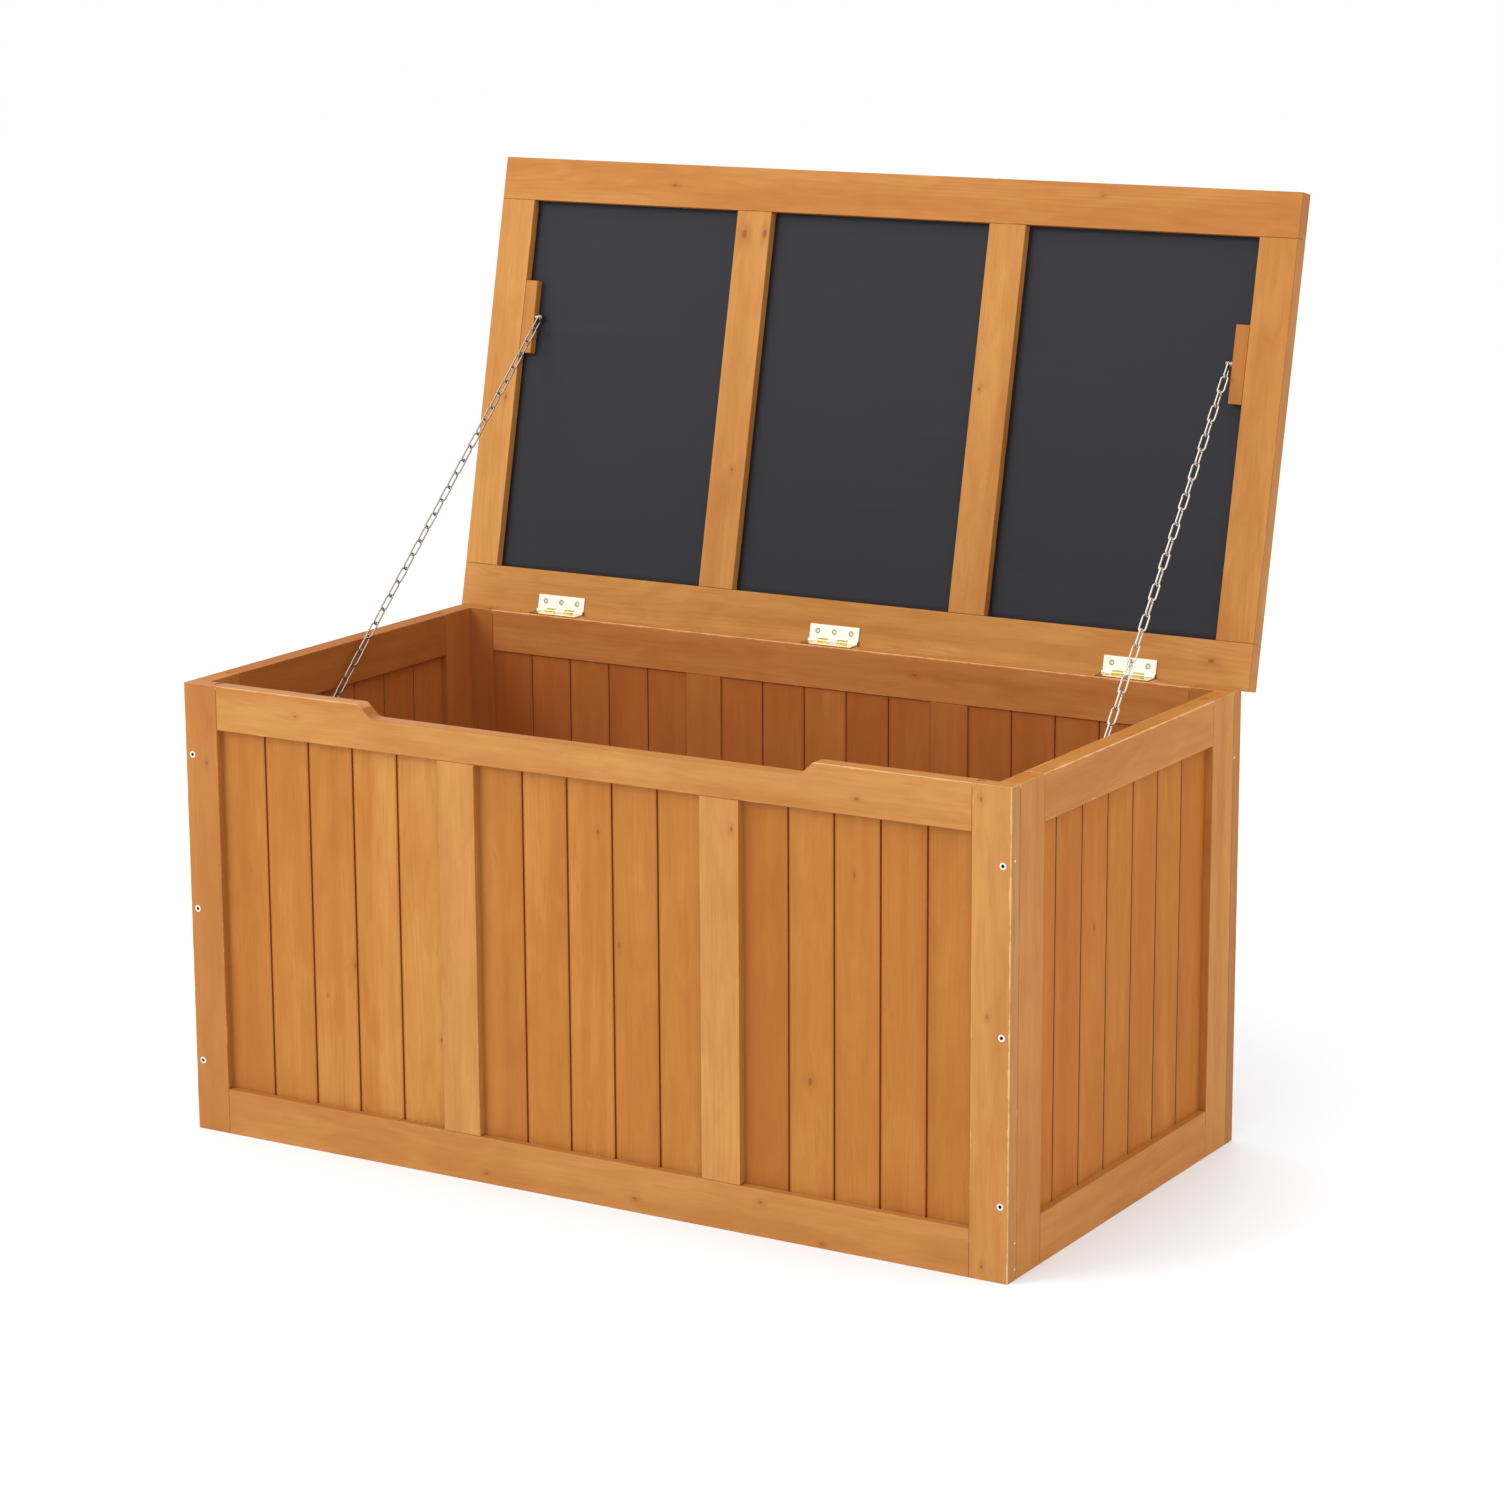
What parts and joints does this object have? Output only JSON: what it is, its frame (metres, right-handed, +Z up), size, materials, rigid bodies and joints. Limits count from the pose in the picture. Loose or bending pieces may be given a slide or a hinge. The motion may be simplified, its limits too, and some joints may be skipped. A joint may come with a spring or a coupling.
{
  "type": "toy box",
  "caption": "Wooden frame-and-panel toy box with a hinged lid that has blackboard panels inside and is held open by chain stays.",
  "frame": {"origin": "middle of the base of the whole object's bounding box with the lid open, on the floor", "axes": "+X to the right seen from the front, +Y towards the hinges at the back, +Z up"},
  "size_m": [1.013, 0.663, 1.0145],
  "materials": {
    "pine_frame": "oiled honey-coloured pine, satin",
    "pine_boards": "oiled honey-coloured pine, satin",
    "plywood": "plain plywood",
    "blackboard": "flat dark grey board",
    "brass": "brass plated",
    "nickel": "bright nickel plate",
    "zinc": "bright zinc plate"
  },
  "bodies": {
    "box": {"front_left_stile": "pine_frame", "front_right_stile": "pine_frame", "front_top_rail": "pine_frame", "front_bottom_rail": "pine_frame", "front_left_mullion": "pine_frame", "front_right_mullion": "pine_frame", "front_left_boards": "pine_boards", "front_middle_boards": "pine_boards", "front_right_boards": "pine_boards", "back_left_stile": "pine_frame", "back_right_stile": "pine_frame", "back_top_rail": "pine_frame", "back_bottom_rail": "pine_frame", "back_left_mullion": "pine_frame", "back_right_mullion": "pine_frame", "back_left_boards": "pine_boards", "back_middle_boards": "pine_boards", "back_right_boards": "pine_boards", "left_side_front_stile": "pine_frame", "left_side_rear_stile": "pine_frame", "left_side_top_rail": "pine_frame", "left_side_bottom_rail": "pine_frame", "left_side_boards": "pine_boards", "left_side_chain_block": "pine_frame", "right_side_front_stile": "pine_frame", "right_side_rear_stile": "pine_frame", "right_side_top_rail": "pine_frame", "right_side_bottom_rail": "pine_frame", "right_side_boards": "pine_boards", "right_side_chain_block": "pine_frame", "floor_panel": "plywood", "floor_cleats": "pine_frame", "wall_screws": "zinc", "hinge_box_leaves": "brass", "hinge_box_screws": "zinc", "hinge_pins": "brass", "box_chain_screws": "zinc", "frame_brads": "zinc"},
    "lid": {"lid_front_rail": "pine_frame", "lid_rear_rail": "pine_frame", "lid_left_stile": "pine_frame", "lid_right_stile": "pine_frame", "lid_left_mullion": "pine_frame", "lid_right_mullion": "pine_frame", "lid_boards": "pine_boards", "lid_blackboards": "blackboard", "lid_left_chain_block": "pine_frame", "lid_right_chain_block": "pine_frame", "lid_chain_screws": "zinc", "hinge_lid_leaves": "brass", "hinge_lid_screws": "zinc"},
    "left_chain_1": {"left_chain_1": "nickel"},
    "left_chain_2": {"left_chain_2": "nickel"},
    "left_chain_3": {"left_chain_3": "nickel"},
    "left_chain_4": {"left_chain_4": "nickel"},
    "right_chain_1": {"right_chain_1": "nickel"},
    "right_chain_2": {"right_chain_2": "nickel"},
    "right_chain_3": {"right_chain_3": "nickel"},
    "right_chain_4": {"right_chain_4": "nickel"}
  },
  "joints": [
    {"name": "lid_hinge", "type": "hinge", "parent": "box", "child": "lid", "pos_m": [0, 0.19865, 0.5015], "axis": [1, 0, 0], "range_deg": [0, 102.5]},
    {"name": "left_chain_pivot_1", "type": "hinge", "parent": "lid", "child": "left_chain_1", "pos_m": [-0.4408, 0.27743, 0.83231], "axis": [1, 0, 0], "range_deg": [-46.51, 0]},
    {"name": "left_chain_pivot_2", "type": "hinge", "parent": "left_chain_1", "child": "left_chain_2", "pos_m": [-0.44466, 0.2239, 0.77783], "axis": [1, 0, 0], "range_deg": [0, 92]},
    {"name": "left_chain_pivot_3", "type": "hinge", "parent": "left_chain_2", "child": "left_chain_3", "pos_m": [-0.45634, 0.06195, 0.61299], "axis": [1, 0, 0], "range_deg": [-124.94, 0]},
    {"name": "left_chain_pivot_4", "type": "hinge", "parent": "left_chain_3", "child": "left_chain_4", "pos_m": [-0.46024, 0.00797, 0.55804], "axis": [1, 0, 0], "range_deg": [-67.14, 0]},
    {"name": "right_chain_pivot_1", "type": "hinge", "parent": "lid", "child": "right_chain_1", "pos_m": [0.4408, 0.27743, 0.83231], "axis": [1, 0, 0], "range_deg": [-46.51, 0]},
    {"name": "right_chain_pivot_2", "type": "hinge", "parent": "right_chain_1", "child": "right_chain_2", "pos_m": [0.44466, 0.2239, 0.77783], "axis": [1, 0, 0], "range_deg": [0, 92]},
    {"name": "right_chain_pivot_3", "type": "hinge", "parent": "right_chain_2", "child": "right_chain_3", "pos_m": [0.45634, 0.06195, 0.61299], "axis": [1, 0, 0], "range_deg": [-124.94, 0]},
    {"name": "right_chain_pivot_4", "type": "hinge", "parent": "right_chain_3", "child": "right_chain_4", "pos_m": [0.46024, 0.00797, 0.55804], "axis": [1, 0, 0], "range_deg": [-67.14, 0]}
  ],
  "couplings": [
    {"joint": "left_chain_pivot_1", "follows": "lid_hinge", "ratio": -0.45366},
    {"joint": "left_chain_pivot_2", "follows": "lid_hinge", "ratio": 0.89756},
    {"joint": "left_chain_pivot_3", "follows": "lid_hinge", "ratio": -1.2189},
    {"joint": "left_chain_pivot_4", "follows": "lid_hinge", "ratio": -0.65495},
    {"joint": "right_chain_pivot_1", "follows": "lid_hinge", "ratio": -0.45366},
    {"joint": "right_chain_pivot_2", "follows": "lid_hinge", "ratio": 0.89756},
    {"joint": "right_chain_pivot_3", "follows": "lid_hinge", "ratio": -1.2189},
    {"joint": "right_chain_pivot_4", "follows": "lid_hinge", "ratio": -0.65495}
  ]
}
